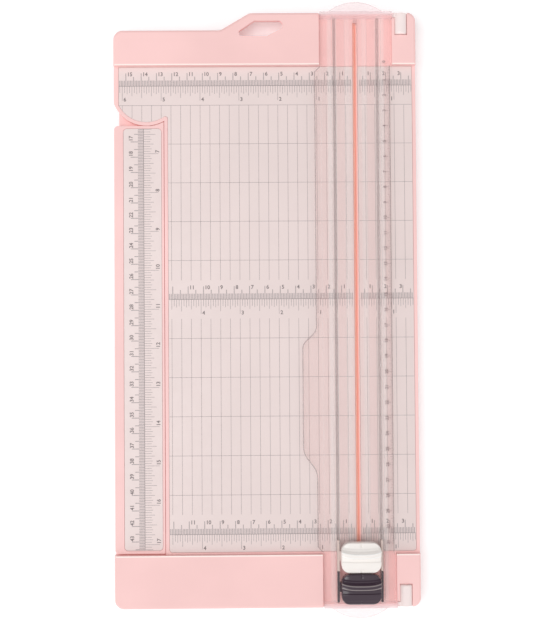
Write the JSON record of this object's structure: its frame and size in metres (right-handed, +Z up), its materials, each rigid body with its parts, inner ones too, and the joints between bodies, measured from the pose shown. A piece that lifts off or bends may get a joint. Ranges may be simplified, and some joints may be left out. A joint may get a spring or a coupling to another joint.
{
  "type": "paper trimmer",
  "caption": "Desk paper trimmer: pink base with printed grid, swing-out ruler arm, and a clear hinged rail that guides a cutting and a scoring head.",
  "frame": {"origin": "centre of the bounding box's underside, on the table, with the trimmer lying flat and the rail shut", "axes": "+Z up from the table, +Y along the cutting line towards the back cover with the handle hole, +X towards the rail's hinge"},
  "size_m": [0.1972, 0.4, 0.0275],
  "materials": {
    "pink_plastic": "fine satin",
    "printed_plate": "printed film",
    "coral_strip": "soft satin",
    "clear_plastic": "clear gloss",
    "black_plastic": "gloss",
    "white_plastic": "satin",
    "steel": "bright",
    "rubber": "matt"
  },
  "bodies": {
    "base": {"base_shell": "pink_plastic", "bottom_plate": "pink_plastic", "grid_plate_left": "printed_plate", "grid_plate_right": "printed_plate", "cutting_strip": "coral_strip", "rubber_feet": "rubber", "shell_screws": "steel", "arm_pivot_screw": "steel", "arm_spring_washer": "steel", "hinge_pin_back": "pink_plastic", "hinge_pin_front": "pink_plastic"},
    "ruler_arm": {"arm_body": "pink_plastic", "arm_ruler_plate": "printed_plate", "arm_pads": "rubber"},
    "rail": {"rail_beam": "clear_plastic", "rail_end_cap_back": "clear_plastic", "rail_end_cap_front": "clear_plastic"},
    "cutter_carriage": {"cutter_carriage": "black_plastic", "cutter_springs": "steel"},
    "cutter_head": {"cutter_head": "black_plastic", "cutter_axle": "steel"},
    "cutter_wheel": {"cutter_wheel": "steel"},
    "scorer_carriage": {"scorer_carriage": "white_plastic", "scorer_springs": "steel"},
    "scorer_head": {"scorer_head": "white_plastic", "scorer_axle": "steel"},
    "scorer_wheel": {"scorer_wheel": "steel"}
  },
  "joints": [
    {"name": "arm_swing", "type": "hinge", "parent": "base", "child": "ruler_arm", "pos_m": [-0.0774, 0.1429, 0.0045], "axis": [0, 0, -1], "range_deg": [0, 90]},
    {"name": "rail_lift", "type": "hinge", "parent": "base", "child": "rail", "pos_m": [0.08885, 0, 0.012], "axis": [0, 1, 0], "range_deg": [0, 100]},
    {"name": "cutter_slide", "type": "slide", "parent": "rail", "child": "cutter_carriage", "axis": [0, 1, 0], "range_m": [0, 0.338]},
    {"name": "cutter_press", "type": "slide", "parent": "cutter_carriage", "child": "cutter_head", "axis": [0, 0, -1], "range_m": [0, 0.0018], "stiffness_N_per_m": 800, "springref_m": -0.001, "deforming": ["cutter_springs"]},
    {"name": "cutter_wheel_spin", "type": "hinge", "parent": "cutter_head", "child": "cutter_wheel", "pos_m": [0.0592, -0.179, 0.0179], "axis": [1, 0, 0], "continuous": true},
    {"name": "scorer_slide", "type": "slide", "parent": "rail", "child": "scorer_carriage", "axis": [0, 1, 0], "range_m": [0, 0.338]},
    {"name": "scorer_press", "type": "slide", "parent": "scorer_carriage", "child": "scorer_head", "axis": [0, 0, -1], "range_m": [0, 0.0018], "stiffness_N_per_m": 800, "springref_m": -0.001, "deforming": ["scorer_springs"]},
    {"name": "scorer_wheel_spin", "type": "hinge", "parent": "scorer_head", "child": "scorer_wheel", "pos_m": [0.0592, -0.1591, 0.0179], "axis": [1, 0, 0], "continuous": true}
  ],
  "couplings": [
    {"joint": "scorer_slide", "follows": "cutter_slide", "ratio": 1}
  ]
}
